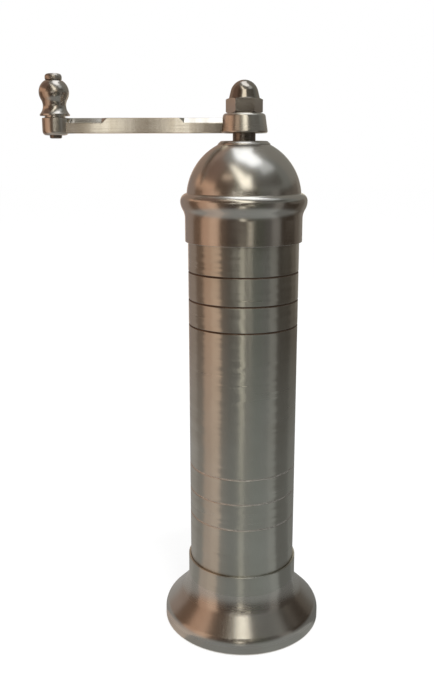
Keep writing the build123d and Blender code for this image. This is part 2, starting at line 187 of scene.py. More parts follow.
@dataclass(frozen=True)
class MetalFinish:
    """A metal surface and the marks that its making left.

    Attributes:
        name: Real material and how its surface was made.
        colour: Colour of the metal between its patches, sRGB hex, into which the groove and nose finishes
            paint shade and light.
        tarnish_and_shade: Colour that it drifts to in soft patches, sRGB hex: tarnish, which on the linished
            bar is painted shade.
        roughness: Mean roughness.
        spread: How far single marks go from that mean.
        mark_pitch: Spacing of the marks in millimetres.
        mark_length: Length of the marks in millimetres.
        relief: Height of the marks in millimetres.
        stretch: How far highlights spread across marks that go round, 0 to 1.
        sway: How far single marks of a stretched finish tip it along their lay, in degrees.
        lay: Which way the marks run.
        patch: Size of the soft patches in millimetres.
    """

    name: str
    colour: str
    tarnish_and_shade: str
    roughness: float
    spread: float
    mark_pitch: float
    mark_length: float
    relief: float
    stretch: float = 0.0
    sway: float = 0.0
    lay: Lay = Lay.ROUND
    patch: float = 14.0

    def material(self, axis_x: float = 0.0) -> Material:
        """Make the finish as a procedural material.

        Args:
            axis_x: X place of the upright axis that turning marks go round, in millimetres.

        Returns:
            The material, made once for each axis.
        """
        name = self.name if axis_x == 0.0 else f"{self.name}_off_axis"
        ready = bpy.data.materials.get(name)
        if ready:
            return ready
        made = bpy.data.materials.new(name)
        tree = empty_tree(made)
        place = add_node(tree, "TexCoord").outputs["Object"]
        centring = {"Vector": place, "Location": (-axis_x * MM, 0.0, 0.0)}
        centred = add_node(tree, "Mapping", centring).outputs["Vector"]
        marks = self._marks(tree, centred)
        limits = (self.roughness - self.spread, self.roughness + self.spread)
        bump = add_node(tree, "Bump", {"Height": marks, "Strength": 1.0, "Distance": self.relief * MM})
        surface = {
            "Base Color": self._tarnished_and_shaded(tree, centred),
            "Metallic": 1.0,
            "Roughness": add_node(tree, "MapRange", (marks, *ROUGH_NOISE, *limits)).outputs["Result"],
            "Normal": bump.outputs["Normal"],
        }
        if self.stretch:
            tangent = add_node(tree, "Tangent", direction_type="RADIAL", axis="Z").outputs["Tangent"]
            surface |= {"Anisotropic": self.stretch, "Anisotropic Rotation": QUARTER_TURN}
            surface["Tangent"] = tangent
            if self.sway:
                reach = math.tan(math.radians(self.sway))
                tip = add_node(tree, "MapRange", (marks, *TIP_NOISE, -reach, reach)).outputs["Result"]
                step = add_node(tree, "VectorMath", {0: tangent, "Scale": tip}, operation="SCALE")
                tipped = add_node(tree, "VectorMath", (bump.outputs["Normal"], step.outputs["Vector"]))
                level = add_node(tree, "VectorMath", (tipped.outputs["Vector"],), operation="NORMALIZE")
                surface["Normal"] = level.outputs["Vector"]
        shader = add_node(tree, "BsdfPrincipled", surface)
        add_node(tree, "OutputMaterial", {"Surface": shader.outputs["BSDF"]})
        return made

    def _tarnished_and_shaded(self, tree: NodeTree, place: NodeSocket) -> NodeSocket:
        """Let the colour drift in soft patches from clean to tarnished metal; on the linished bar the
        patches are painted shade.

        Args:
            tree: Node tree of the material.
            place: Position on the piece, centred on its axis.

        Returns:
            The colour.
        """
        if self.lay is Lay.ALONG:
            drawn = add_node(tree, "VectorMath", (place, DRAWN_OUT), operation="MULTIPLY")
            place = drawn.outputs["Vector"]
        cloud = {"Vector": place, "Scale": 1 / (self.patch * MM), "Detail": NOISE_DETAIL}
        patches = add_node(tree, "TexNoise", cloud).outputs["Fac"]
        share = add_node(tree, "MapRange", (patches, *TARNISH_AND_SHADE_NOISE, 0.0, 1.0)).outputs["Result"]
        shades = {"Factor": share, MIX_FIRST: linear(self.colour), MIX_SECOND: linear(self.tarnish_and_shade)}
        return add_node(tree, "Mix", shades, data_type="RGBA").outputs[MIX_RESULT]

    def _marks(self, tree: NodeTree, place: NodeSocket) -> NodeSocket:
        """Draw the marks as a noise that is stretched along their lay.

        Args:
            tree: Node tree of the material.
            place: Position on the piece, centred on its axis.

        Returns:
            The marks' height, from 0 to 1.
        """
        across = 1 / (self.mark_pitch * MM)
        along = 1 / (self.mark_length * MM)
        spacing = (along if self.lay is Lay.ALONG else across, across, across)
        if self.lay is Lay.ROUND:
            parts = add_node(tree, "SeparateXYZ", (place,)).outputs
            flat = add_node(tree, "CombineXYZ", (parts["X"], parts["Y"]))
            radius = add_node(tree, "VectorMath", (flat.outputs["Vector"],), operation="LENGTH")
            travel = add_node(tree, "Math", (parts["Z"], radius.outputs["Value"]), operation="SUBTRACT")
            ringed = add_node(tree, "CombineXYZ", (parts["X"], parts["Y"], travel.outputs["Value"]))
            place = ringed.outputs["Vector"]
            spacing = (along, along, across)
        scaled = add_node(tree, "VectorMath", (place, spacing), operation="MULTIPLY").outputs["Vector"]
        noise = {"Vector": scaled, "Scale": 1.0, "Detail": NOISE_DETAIL}
        return add_node(tree, "TexNoise", noise).outputs["Fac"]


# Nickel plate over brass is a faintly warm white metal. Marks finer than about 0.4 mm would not show in
# the render, so the finest ones here are drawn that coarse.
FINISHES: dict[Slot, MetalFinish] = {
    # Fine rings from the lathe's emery stretch every highlight up and down and leave its edges ragged.
    Slot.TUBE: MetalFinish(
        "nickel_plate_lathe_brushed", "#CCCBC2", "#C5C3B9", 0.31, 0.04, 0.85, 34.0, 0.0004, 0.88, sway=1.6
    ),
    # A finer satin without rings, so that the dome rolls off smoothly and the skirt's bands stay crisp.
    Slot.TURNED: MetalFinish(
        "nickel_plate_satin_turned", "#D0CCC5", "#C8C3BB", 0.25, 0.02, 0.6, 40.0, 0.0006, 0.3
    ),
    # Buffed bright, with faint wiping marks and sharp reflections.
    Slot.POLISHED: MetalFinish("nickel_plate_buffed", "#D3CFC8", "#C8C2B9", 0.19, 0.03, 0.6, 12.0, 0.001),
    # Cast and linished: straight fine lines along the crank, a broad pale sheen, and bands of painted shade
    # across it.
    Slot.CAST: MetalFinish(
        "nickel_plate_linished_casting", "#DAD5CC", "#BDB5A8", 0.15, 0.03, 0.45, 25.0, 0.001,
        lay=Lay.ALONG, patch=5.0,
    ),
    # Bright drawn bar that has gone dark in use.
    Slot.SHAFT: MetalFinish("carbon_steel_drawn", "#8D8780", "#6E665E", 0.3, 0.08, 0.5, 8.0, 0.004),
    # Hardened and oil-blacked: dark, a little brown, with a dull sheen.
    Slot.BURR: MetalFinish(
        "tool_steel_oil_blacked", "#6B6762", "#4A4540", 0.42, 0.1, 0.5, 2.0, 0.01, lay=Lay.NONE, patch=4.0
    ),
    # Zinc plate is a cool grey with a faint cloudiness.
    Slot.PLATED: MetalFinish(
        "steel_zinc_plated", "#BFC0C0", "#A5A7AA", 0.33, 0.08, 0.6, 4.0, 0.003, lay=Lay.NONE, patch=3.0
    ),
    # Drawn wire, smooth and grey.
    Slot.WIRE: MetalFinish(
        "spring_wire_drawn", "#A3A3A1", "#85837F", 0.28, 0.06, 0.4, 4.0, 0.002, lay=Lay.NONE
    ),
    # Bare turned brass with the tool's rings left on it.
    Slot.BRASS: MetalFinish(
        "brass_turned", "#D9B871", "#B58F4B", 0.3, 0.08, 0.5, 20.0, 0.006, 0.3, patch=6.0
    ),
}

# The hub and the eye are turned, so their marks go round while the bar's run along it.
TURNED_CASTING = MetalFinish(
    "nickel_plate_turned_casting", "#D3CEC5", "#C8C2B9", 0.28, 0.01, 0.9, 40.0, 0.0001, 0.4
)
# The foot's flare was turned finer than the tube, so its reflections have firmer edges.
TURNED_FLARE = MetalFinish(
    "nickel_plate_turned_flare", "#CFCBC4", "#C8C3BB", 0.25, 0.01, 0.9, 60.0, 0.0002, 0.4
)
# The cove was rubbed round by hand after turning, which draws its highlights out up and down.
RUBBED_COVE = MetalFinish(
    "nickel_plate_rubbed_cove", "#CFCBC4", "#C8C3BB", 0.27, 0.01, 0.9, 60.0, 0.00004, 0.72
)
# The rim is scuffed by the table, which blurs what lies right in front of it.
SCUFFED_RIM = MetalFinish("nickel_plate_scuffed_rim", "#CFCBC4", "#C8C3BB", 0.45, 0.03, 0.9, 60.0, 0.0002)
# Fingers have worn the knob's bulb from a bright buff to a soft sheen.
HANDLED = MetalFinish("nickel_plate_handled", "#C4BEB6", "#B2AAA0", 0.25, 0.02, 0.9, 12.0, 0.0002)
# Painted shade: the nut's tapered dome is coloured browner and darker than its flats.
SHADED_NOSE = MetalFinish("nickel_plate_nose_painted_shade", "#B4ACA2", "#A69D92", 0.2, 0.02, 0.6, 12.0, 0.0004)
# The rivet's button is rubbed bright by the same fingers.
BURNISHED = MetalFinish("carbon_steel_burnished", "#C2BCB4", "#ABA49B", 0.36, 0.04, 0.9, 12.0, 0.0002)
# Painted shade: the upper grooves are coloured dark brown so that they read as dark brown lines.
SHADED_GROOVE = MetalFinish("nickel_plate_groove_painted_shade", "#7E6C5E", "#6A5B50", 0.5, 0.05, 0.9, 34.0, 0.002)
# Painted light: the lower grooves are coloured a pale matt white, so that their matt cut reads as fine pale
# lines.
LIT_GROOVE = MetalFinish("nickel_plate_groove_painted_light", "#E6E4E0", "#DAD7D2", 0.6, 0.03, 0.9, 34.0, 0.001)


@dataclass(frozen=True)
class Zone:
    """A stretch of a piece with a finish of its own.

    Attributes:
        finish: The finish.
        holds: Tells whether a point in millimetres lies in the stretch.
        axis_x: X place of the axis that its turning marks go round, in millimetres.
    """

    finish: MetalFinish
    holds: Callable[[Vector], bool]
    axis_x: float = 0.0


@dataclass(frozen=True)
class Span:
    """How a piece reaches from its own body to another one that slides.

    Attributes:
        body: Body that its far end should follow; not used.
        start: Height in millimetres down to which it keeps with its own body; not used.
        end: Height in millimetres below which it meets the other body; not used.
    """

    body: str
    start: float
    end: float


class Lathe:
    """An outline of radius and height drawn with mesh operators, then turned about an upright axis."""

    def __init__(self, radius: float, height: float, axis_x: float = 0.0) -> None:
        """Start the outline at one point.

        Args:
            radius: Distance from the axis.
            height: Height above the resting face.
            axis_x: X place of the axis.
        """
        self.axis_x = axis_x
        self.mesh = bmesh.new()
        self.tip = self.mesh.verts.new(self._place(radius, height))
        self.start = self.tip
        self.rounds: list[tuple[BMVert, float]] = []

    def _place(self, radius: float, height: float) -> Vector:
        """Give the mesh place of an outline point."""
        return Vector((self.axis_x + radius, 0.0, height)) * MM

    def lines(self, *ends: tuple[float, ...]) -> "Lathe":
        """Draw straight stretches one after the other.

        Args:
            *ends: Radius and height of each stretch's end, and the radius that later rounds it, if any.

        Returns:
            The outline, for the next stretch.
        """
        for radius, height, *rounded in ends:
            self.tip = bmesh.ops.extrude_vert_indiv(self.mesh, verts=[self.tip])["verts"][0]
            self.tip.co = self._place(radius, height)
            self.rounds += [(self.tip, size) for size in rounded]
        return self

    def arc(self, radius: float, height: float, heading: tuple[float, float]) -> "Lathe":
        """Draw an arc that leaves the last point in a given direction.

        Args:
            radius: Radius at its end.
            height: Height of its end.
            heading: Direction at its start, as a step in radius and in height.

        Returns:
            The outline, for the next stretch.
        """
        ahead = Vector((heading[0], 0.0, heading[1])).normalized()
        inward = Vector((-ahead.z, 0.0, ahead.x))
        chord = self._place(radius, height) - self.tip.co
        centre = self.tip.co + inward * chord.length_squared / (2 * chord.dot(inward))
        turn = 2 * math.atan2(chord.dot(inward), chord.dot(ahead))
        steps = max(LEAST_ARC_STEPS, math.ceil(abs(turn) / ARC_STEP))
        made = bmesh.ops.spin(
            self.mesh, geom=[self.tip], cent=centre, axis=(0.0, -1.0, 0.0), angle=turn, steps=steps
        )
        self.tip = made["geom_last"][0]
        return self

    def turn(self, steps: int, closed: bool = True) -> BMesh:
        """Round the marked corners and turn the outline into a closed mesh.

        Args:
            steps: Number of facets round the axis.
            closed: Whether the last point joins the first, rather than both being on the axis.

        Returns:
            The turned mesh, its faces pointing outwards.
        """
        if closed:
            bmesh.ops.contextual_create(self.mesh, geom=[self.tip, self.start])
        for corner, radius in self.rounds:
            one, other = (edge.other_vert(corner).co - corner.co for edge in corner.link_edges)
            soften(self.mesh, [corner], radius / math.tan(one.angle(other) / 2), ROUND_STEPS)
        bmesh.ops.spin(
            self.mesh,
            geom=self.mesh.verts[:] + self.mesh.edges[:],
            cent=(self.axis_x * MM, 0.0, 0.0),
            axis=UP,
            angle=math.tau,
            steps=steps,
            use_merge=True,
        )
        return cleaned(self.mesh)


def cleaned(mesh: BMesh) -> BMesh:
    """Merge what coincides and point every face outwards.

    Args:
        mesh: Mesh that is changed.

    Returns:
        The same mesh.
    """
    bmesh.ops.remove_doubles(mesh, verts=mesh.verts[:], dist=MERGE_DISTANCE)
    bmesh.ops.recalc_face_normals(mesh, faces=mesh.faces[:])
    return mesh


def soften(mesh: BMesh, items: list, width: float, steps: int, clamped: bool = False) -> None:
    """Bevel corners of an outline or edges of a solid.

    Args:
        mesh: The outline or solid.
        items: Its corners or its edges.
        width: How far the bevel reaches from each of them in millimetres.
        steps: Number of facets across it.
        clamped: Whether it stops where it meets the next one.
    """
    bmesh.ops.bevel(
        mesh,
        geom=items,
        offset=width * MM,
        offset_type="OFFSET",
        segments=steps,
        profile=0.5,
        affect="VERTICES" if isinstance(items[0], BMVert) else "EDGES",
        material=-1,
        clamp_overlap=clamped,
    )


def disc(radius: float, height: float) -> BMesh:
    """Make a flat round sheet about the mill's axis.

    Args:
        radius: Radius in metres.
        height: Height above the table in metres.

    Returns:
        The sheet.
    """
    mesh = bmesh.new()
    place = Matrix.Translation(UP * height)
    bmesh.ops.create_circle(mesh, cap_ends=True, segments=SMALL_STEPS, radius=radius, matrix=place)
    return mesh


def block(low: Vector, high: Vector) -> BMesh:
    """Make a box between two corners.

    Args:
        low: Lowest corner in millimetres.
        high: Highest corner in millimetres.

    Returns:
        The box.
    """
    mesh = bmesh.new()
    size = Matrix.Diagonal((*((high - low) * MM), 1.0))
    bmesh.ops.create_cube(mesh, size=1.0, matrix=Matrix.Translation((low + high) * MM / 2) @ size)
    return mesh


def cut_flats(mesh: BMesh, count: int, flats: float) -> None:
    """Mill evenly spread upright flats on a turned piece that stands on the mill's axis.

    Args:
        mesh: The turned piece.
        count: Number of flats.
        flats: Distance across opposite flats in millimetres.
    """
    for number in range(count):
        angle = math.pi / 2 + math.tau * number / count
        away = Vector((math.cos(angle), math.sin(angle), 0.0))
        cut = bmesh.ops.bisect_plane(
            mesh,
            geom=mesh.verts[:] + mesh.edges[:] + mesh.faces[:],
            dist=MERGE_DISTANCE,
            plane_co=away * flats * MM / 2,
            plane_no=away,
            clear_outer=True,
        )
        rim = [item for item in cut["geom_cut"] if isinstance(item, BMEdge)]
        bmesh.ops.contextual_create(mesh, geom=rim)


def rod(radius: float, bottom: float, top: float, axis_x: float = 0.0, flats: float = 0.0) -> BMesh:
    """Turn a plain length of rod, or mill it square on the mill's axis.

    Args:
        radius: Radius of the rod.
        bottom: Height of its lower end.
        top: Height of its upper end.
        axis_x: X place of its axis.
        flats: Distance across the square's flats, or 0 for a round rod.

    Returns:
        The rod as a closed mesh.
    """
    outline = Lathe(0.0, bottom, axis_x).lines((radius, bottom), (radius, top), (0.0, top))
    mesh = outline.turn(SMALL_STEPS, closed=False)
    if flats:
        cut_flats(mesh, SQUARE, flats)
    return cleaned(mesh)


def helix(section: BMesh, turns: float, pitch: float) -> BMesh:
    """Wind a closed section up the mill's axis and cap both ends.

    Args:
        section: One closed loop in the XZ plane.
        turns: Number of turns, anticlockwise from above.
        pitch: Rise of one turn in millimetres.

    Returns:
        The wound mesh.
    """
    first = section.edges[:]
    steps = math.ceil(turns * THREAD_STEPS)
    made = bmesh.ops.spin(
        section,
        geom=section.verts[:] + first,
        axis=UP,
        angle=math.tau * turns,
        steps=steps,
        dvec=UP * pitch * MM * turns / steps,
    )
    last = [item for item in made["geom_last"] if isinstance(item, BMEdge)]
    for rim in (first, last):
        bmesh.ops.contextual_create(section, geom=rim)
    return cleaned(section)


def thread(radius: float, depth: float, pitch: float, bottom: float, top: float) -> BMesh:
    """Make a screw thread's ridge, to lie on a core that is one depth smaller.

    Args:
        radius: Radius over the crests.
        depth: Height of the ridge.
        pitch: Rise of one turn.
        bottom: Lowest point.
        top: Highest point.

    Returns:
        The ridge as a closed mesh.
    """
    sunk = radius - (1 + RIDGE_SUNK) * depth
    flank = pitch * (RIDGE_FOOT - RIDGE_CREST) / 2
    crest = bottom + flank
    ridge = Lathe(sunk, bottom)
    ridge.lines((radius, crest), (radius, crest + pitch * RIDGE_CREST), (sunk, bottom + pitch * RIDGE_FOOT))
    bmesh.ops.contextual_create(ridge.mesh, geom=[ridge.tip, ridge.start])
    return helix(ridge.mesh, (top - bottom) / pitch - RIDGE_FOOT, pitch)


class Joining(Enum):
    """Ways to work one solid with another."""

    WELD = "UNION"
    CUT = "DIFFERENCE"


def worked(base: BMesh, tool: BMesh, joining: Joining) -> BMesh:
    """Weld a solid to another, or cut it away.

    Args:
        base: Solid that is kept.
        tool: Solid that is welded on or cut away.
        joining: Which of the two is done.

    Returns:
        The resulting mesh.
    """
    pair = [scene_object(name, mesh) for name, mesh in (("base", base), ("tool", tool))]
    step = pair[0].modifiers.new("joining", "BOOLEAN")
    step.operation = joining.value
    step.solver = "EXACT"
    step.object = pair[1]
    graph = bpy.context.evaluated_depsgraph_get()
    result = bmesh.new()
    result.from_object(pair[0], graph)
    for item in pair:
        bpy.data.meshes.remove(item.data)
    return result


def scene_object(name: str, mesh: BMesh) -> Object:
    """Put a bmesh into the scene as an object at the origin.

    Args:
        name: Name of the object and of its mesh.
        mesh: Geometry, which is freed.

    Returns:
        The new object.
    """
    data = bpy.data.meshes.new(name)
    mesh.to_mesh(data)
    mesh.free()
    item = bpy.data.objects.new(name, data)
    bpy.context.scene.collection.objects.link(item)
    return item


class Bench:
    """Puts finished pieces on the frame's bodies and finishes on the frame's own nodes."""

    def __init__(self, nodes: dict[str, Object], bodies: dict[str, list[str]]) -> None:
        """Keep the frame's nodes and find the body of each.

        Args:
            nodes: Node name to its object.
            bodies: Body name to the names of its nodes.
        """
        self.nodes = nodes
        self.body_of = {node: body for body, members in bodies.items() for node in members}

    def stand_for(
        self,
        node: str,
        mesh: BMesh,
        slot: Slot,
        axis_x: float = 0.0,
        zones: tuple[Zone, ...] = (),
        span: Span | None = None,
    ) -> None:
        """Finish a new piece and let it stand for a node of the frame.

        Args:
            node: Node that the piece stands for.
            mesh: Geometry in the frame's place.
            slot: Material slot of the record.
            axis_x: X place of the axis that its turning marks go round, in millimetres.
            zones: Stretches of it that have another finish.
            span: Given where it reaches to another body; such a piece is left in place on no body.
        """
        faces = len(mesh.faces)
        for face in mesh.faces:
            face.material_index = 0
            for number, zone in enumerate(zones, 1):
                if zone.holds(face.calc_center_median() / MM):
                    face.material_index = number
        piece = scene_object(f"{node}_finished", mesh)
        piece.data.shade_smooth()
        piece.data.set_sharp_from_angle(angle=SHARP_ANGLE)
        even = piece.modifiers.new("even_normals", "WEIGHTED_NORMAL")
        even.keep_sharp = True
        piece.data.materials.append(FINISHES[slot].material(axis_x))
        for zone in zones:
            piece.data.materials.append(zone.finish.material(zone.axis_x))
        if span:
            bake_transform(piece)
        else:
            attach(piece, self.body_of[node])
        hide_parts(node)
        LOG.info("%s: %d faces on %s", piece.name, faces, self.body_of[node])

    def dress(self, slot: Slot, *nodes: str) -> None:
        """Give nodes that keep their shape their finish.

        Args:
            slot: Material slot of the record.
            *nodes: Nodes of the frame.
        """
        for node in nodes:
            data = self.nodes[node].data
            data.materials.clear()
            data.materials.append(FINISHES[slot].material())
            LOG.info("%s: dressed as %s", node, slot.value)


@dataclass
class MillBody:
    """Grooved tube on its bell foot, with the fixed burr under it."""

    tube_radius: float = 19.0
    tube_wall: float = 1.0
    tube_top: float = 155.0
    groove_heights: tuple[float, ...] = (42.6, 52.2, 61.4, 112.8, 121.6, 131.2)
    groove_width: float = 0.7
    groove_depth: float = 0.3
    groove_lip: float = 0.03
    # Height in millimetres above which the grooves get painted shade.
    shaded_above: float = 100.0
    foot_radius: float = 28.65
    foot_rim: float = 4.85
    foot_shoulder: float = 4.0
    foot_cove: float = 9.0
    foot_wall: float = 2.8
    collar_radius: float = 19.8
    collar_top: float = 24.8
    ledge_radius: float = 17.0
    ledge_top: float = 14.0
    seat: float = 0.02
    edge: float = 0.25

    def tube(self) -> BMesh:
        """Turn the tube with its six rounded grooves.

        Returns:
            The tube's mesh.
        """
        inner = self.tube_radius - self.tube_wall
        soft = self.groove_depth / 2
        outline = Lathe(inner, self.ledge_top).lines((self.tube_radius, self.ledge_top, self.edge))
        for height in self.groove_heights:
            outline.lines(
                (self.tube_radius, height - self.groove_width / 2, soft),
                (self.tube_radius - self.groove_depth, height, soft),
                (self.tube_radius, height + self.groove_width / 2, soft),
            )
        outline.lines((self.tube_radius, self.tube_top, self.edge), (inner, self.tube_top, self.edge))
        return outline.turn(LARGE_STEPS)

    def foot(self) -> BMesh:
        """Turn the bell foot: rim, flare, cove and collar, open below.

        Returns:
            The foot's mesh.
        """
        bore = self.tube_radius + self.seat
        inner_rim = self.foot_radius - self.foot_wall
        inner_rise = self.foot_rim - self.foot_wall * FLARE_SHIFT
        outline = Lathe(bore, self.ledge_top).lines(
            (self.ledge_radius, self.ledge_top, self.edge),
            (self.ledge_radius, inner_rise + inner_rim - self.ledge_radius, self.edge),
            (inner_rim, inner_rise, self.foot_shoulder),
            (inner_rim, 0.0, 2 * self.edge),
            (self.foot_radius, 0.0, 2 * self.edge),
            (self.foot_radius, self.foot_rim, self.foot_shoulder),
            (self.collar_radius, self.foot_rim + self.foot_radius - self.collar_radius, self.foot_cove),
            (self.collar_radius, self.collar_top, self.edge),
            (bore, self.collar_top, self.edge),
        )
        return outline.turn(LARGE_STEPS)

    def _in_groove(self, point: Vector) -> bool:
        """Tell whether a point lies inside one of the tube's grooves, below its lips."""
        return self.groove_lip < self.tube_radius - point.xy.length <= self.groove_depth

    def _in_shaded_groove(self, point: Vector) -> bool:
        """Tell whether a point lies inside one of the upper grooves, which get painted shade."""
        return point.z > self.shaded_above and self._in_groove(point)

    def _on_flare(self, point: Vector) -> bool:
        """Tell whether a point lies on the foot below its collar."""
        return point.xy.length > self.collar_radius + self.seat

    def _in_cove(self, point: Vector) -> bool:
        """Tell whether a point lies in the hollow between the foot's collar and its flare."""
        depth = point.xy.length - self.collar_radius
        return self.seat < depth < self.foot_cove * (1 - math.cos(FLARE_ANGLE))

    def _on_rim(self, point: Vector) -> bool:
        """Tell whether a point lies on the foot's upright rim."""
        return point.z < self.foot_rim - self.foot_shoulder * FLARE_SHIFT

    def build(self, bench: Bench) -> None:
        """Put the tube and the foot on the bench and finish the fixed inner pieces.

        Args:
            bench: Bench that takes them.
        """
        # The lower grooves get painted light and the upper ones painted shade, as the later zone wins.
        grooves = (Zone(LIT_GROOVE, self._in_groove), Zone(SHADED_GROOVE, self._in_shaded_groove))
        bench.stand_for("body_tube", self.tube(), Slot.TUBE, zones=grooves)
        turned = (
            Zone(TURNED_FLARE, self._on_flare),
            Zone(RUBBED_COVE, self._in_cove),
            Zone(SCUFFED_RIM, self._on_rim),
        )
        bench.stand_for("base_foot", self.foot(), Slot.TUBE, zones=turned)
        bench.dress(Slot.BURR, "stator_burr")
        bench.dress(Slot.PLATED, "burr_bridge", "bridge_screws")


@dataclass
class Dome:
    """Slip-on dome: skirt, ogee, bead, round dome and a raised flat crown."""

    bore: float = 19.05
    skirt_radius: float = 19.95
    skirt_bottom: float = 141.3
    skirt_top: float = 149.1
    bead_radius: float = 21.5
    bead_height: float = 154.9
    crease_height: float = 157.5
    dome_radius: float = 19.4
    dome_centre: float = 155.95
    wall: float = 1.4
    seat_height: float = 155.02
    crown_radius: float = 7.75
    crown_foot_radius: float = 8.8
    crown_top: float = 174.46
    crown_edge: float = 173.55
    crown_underside: float = 171.4
    crown_round: float = 0.5
    bush_hole: float = 5.52
    edge: float = 0.2

    def _height_on(self, sphere: float, radius: float) -> float:
        """Give the height of a sphere about the dome's centre at a radius from the axis."""
        return self.dome_centre + math.sqrt(sphere**2 - radius**2)

    def _radius_on(self, sphere: float, height: float) -> float:
        """Give the radius from the axis of a sphere about the dome's centre at a height."""
        return math.sqrt(sphere**2 - (height - self.dome_centre) ** 2)

    def cap(self) -> BMesh:
        """Turn the dome as one thin shell.

        Returns:
            The dome's mesh.
        """
        inner = self.dome_radius - self.wall
        middle_radius = (self.skirt_radius + self.bead_radius) / 2
        middle_height = (self.skirt_top + self.bead_height) / 2
        lean = 2 * math.atan2(self.bead_radius - self.skirt_radius, self.bead_height - self.skirt_top)
        crease = self._radius_on(self.dome_radius, self.crease_height)
        crown_foot = self._height_on(self.dome_radius, self.crown_foot_radius)
        inner_crown = self._radius_on(inner, self.crown_underside)
        inner_seat = self._radius_on(inner, self.seat_height)
        outline = Lathe(self.bore, self.skirt_bottom)
        outline.lines((self.skirt_radius, self.skirt_bottom, self.edge), (self.skirt_radius, self.skirt_top))
        outline.arc(middle_radius, middle_height, (0.0, 1.0))
        outline.arc(self.bead_radius, self.bead_height, (math.sin(lean), math.cos(lean)))
        outline.arc(crease, self.crease_height, (0.0, 1.0))
        outline.arc(self.crown_foot_radius, crown_foot, (self.dome_centre - self.crease_height, crease))
        outline.lines(
            (self.crown_foot_radius, self.crown_edge, self.crown_round),
            (self.crown_radius, self.crown_top, self.crown_round),
            (self.bush_hole, self.crown_top),
            (self.bush_hole, self.crown_underside),
            (inner_crown, self.crown_underside),
        )
        outline.arc(inner_seat, self.seat_height, (self.crown_underside - self.dome_centre, -inner_crown))
        return outline.lines((self.bore, self.seat_height)).turn(LARGE_STEPS)

    def build(self, bench: Bench) -> None:
        """Put the dome on the bench and finish its bush."""
        bench.stand_for("dome_cap", self.cap(), Slot.TURNED)
        bench.dress(Slot.BRASS, "dome_bush")


